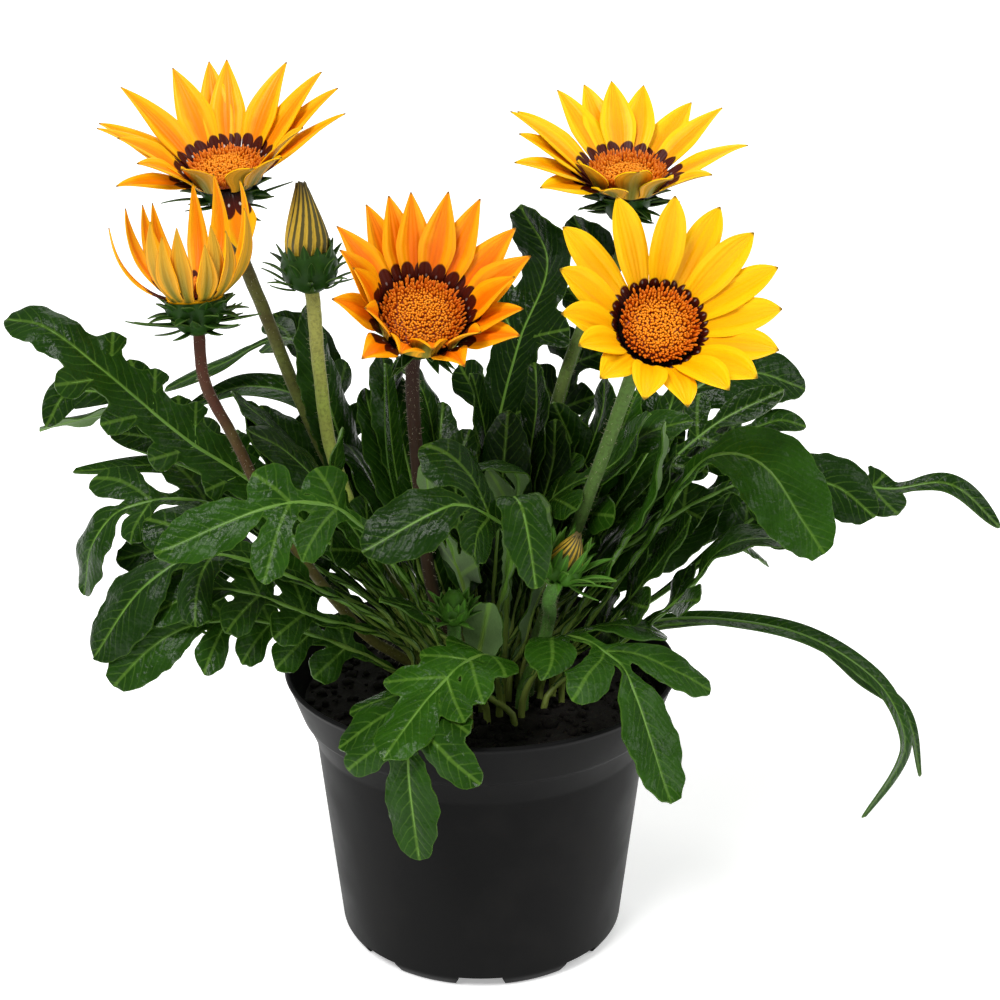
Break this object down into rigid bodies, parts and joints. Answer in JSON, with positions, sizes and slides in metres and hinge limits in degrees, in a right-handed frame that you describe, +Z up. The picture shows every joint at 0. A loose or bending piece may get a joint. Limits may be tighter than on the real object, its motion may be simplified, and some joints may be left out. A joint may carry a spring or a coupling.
{
  "type": "potted gazania",
  "caption": "Gazania with lobed leaves, daisy blooms and buds, growing in soil in a round nursery pot.",
  "frame": {"origin": "centre of the pot's underside", "axes": "+Z up, -Y towards the front that the picture shows, +X to its right"},
  "size_m": [0.313, 0.1944, 0.2864],
  "materials": {
    "black plastic": "satin black polypropylene",
    "potting soil": "crumbly dark potting soil",
    "leaf green": "glossy dark green leaf, felted grey-green below",
    "stem green": "hairy olive green stem and cup",
    "golden petals": "silky golden orange petals",
    "bright yellow petals": "silky bright yellow petals",
    "disc florets": "orange disc florets"
  },
  "bodies": {
    "root": {"bloom_centre_disc": "disc florets", "bloom_centre_petals": "golden petals", "bloom_centre_stem": "stem green", "bloom_half_open_petals": "golden petals", "bloom_half_open_stem": "stem green", "bloom_left_disc": "disc florets", "bloom_left_petals": "golden petals", "bloom_left_stem": "stem green", "bloom_right_back_disc": "disc florets", "bloom_right_back_petals": "golden petals", "bloom_right_back_stem": "stem green", "bloom_right_front_disc": "disc florets", "bloom_right_front_petals": "bright yellow petals", "bloom_right_front_stem": "stem green", "bud_green_stem": "stem green", "bud_tall_petals": "golden petals", "bud_tall_stem": "stem green", "bud_yellow_tip_petals": "golden petals", "bud_yellow_tip_stem": "stem green", "leaf_arched_left": "leaf green", "leaf_back_far_right": "leaf green", "leaf_back_left": "leaf green", "leaf_back_middle": "leaf green", "leaf_back_right": "leaf green", "leaf_big_dark_left": "leaf green", "leaf_bright_left": "leaf green", "leaf_centre_dark": "leaf green", "leaf_curl_centre": "leaf green", "leaf_curled_left": "leaf green", "leaf_droop_centre": "leaf green", "leaf_fern_left": "leaf green", "leaf_fill_left_low": "leaf green", "leaf_front_left": "leaf green", "leaf_front_low": "leaf green", "leaf_front_right": "leaf green", "leaf_front_small": "leaf green", "leaf_grey_left": "leaf green", "leaf_low_left": "leaf green", "leaf_middle": "leaf green", "leaf_right_back": "leaf green", "leaf_right_blade": "leaf green", "leaf_right_bright": "leaf green", "leaf_right_fold": "leaf green", "leaf_right_lobed": "leaf green", "leaf_right_long": "leaf green", "leaf_right_low": "leaf green", "leaf_right_strap": "leaf green", "leaf_right_strap_thin": "leaf green", "leaf_right_wide": "leaf green", "leaf_small_centre": "leaf green", "leaf_strap_left": "leaf green", "leaf_tall_back": "leaf green", "leaf_tall_right": "leaf green", "leaf_under_bloom": "leaf green", "leaf_upper_left": "leaf green", "leaf_upright_left": "leaf green", "leaf_upright_middle": "leaf green", "leaf_upright_slim": "leaf green", "pot": "black plastic", "soil": "potting soil"}
  },
  "joints": []
}
